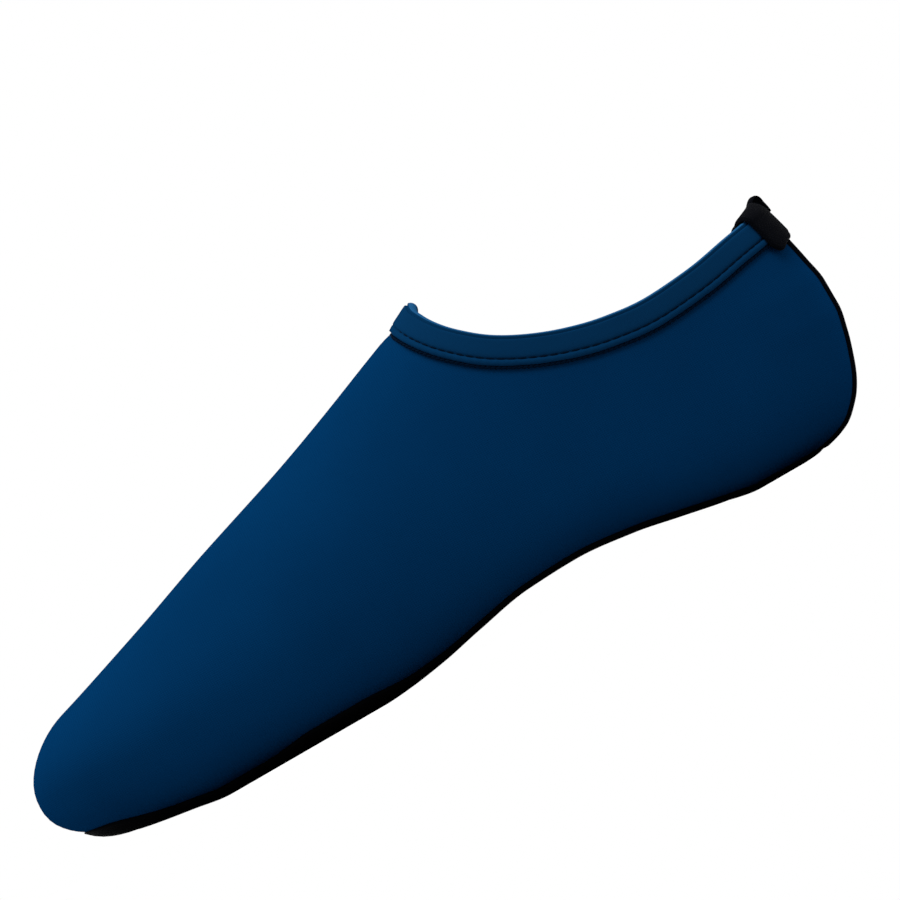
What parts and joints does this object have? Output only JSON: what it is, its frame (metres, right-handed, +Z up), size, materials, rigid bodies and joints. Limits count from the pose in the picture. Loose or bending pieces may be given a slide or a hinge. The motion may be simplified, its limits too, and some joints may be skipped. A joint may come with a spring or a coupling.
{
  "type": "water shoe",
  "caption": "Slip-on water shoe for the left foot: stretch fabric upper, folded collar band, heel tab and thin rubber sole.",
  "frame": {"origin": "middle of the flat spot under the heel, on the floor", "axes": "+X from the toe to the heel along the foot, +Y to the inner side of the foot, +Z up"},
  "size_m": [0.2487, 0.0915, 0.0883],
  "materials": {
    "navy_fabric": "smooth navy stretch knit",
    "binding_fabric": "navy folded edging with a double stitch line",
    "lining_fabric": "dark navy bottom cloth",
    "black_rubber": "matt black rubber",
    "black_tape": "black woven tape"
  },
  "bodies": {
    "root": {"upper": "navy_fabric", "collar_binding": "binding_fabric", "heel_tape": "black_tape", "heel_tab": "black_tape", "insole": "lining_fabric", "outsole": "black_rubber"}
  },
  "joints": []
}
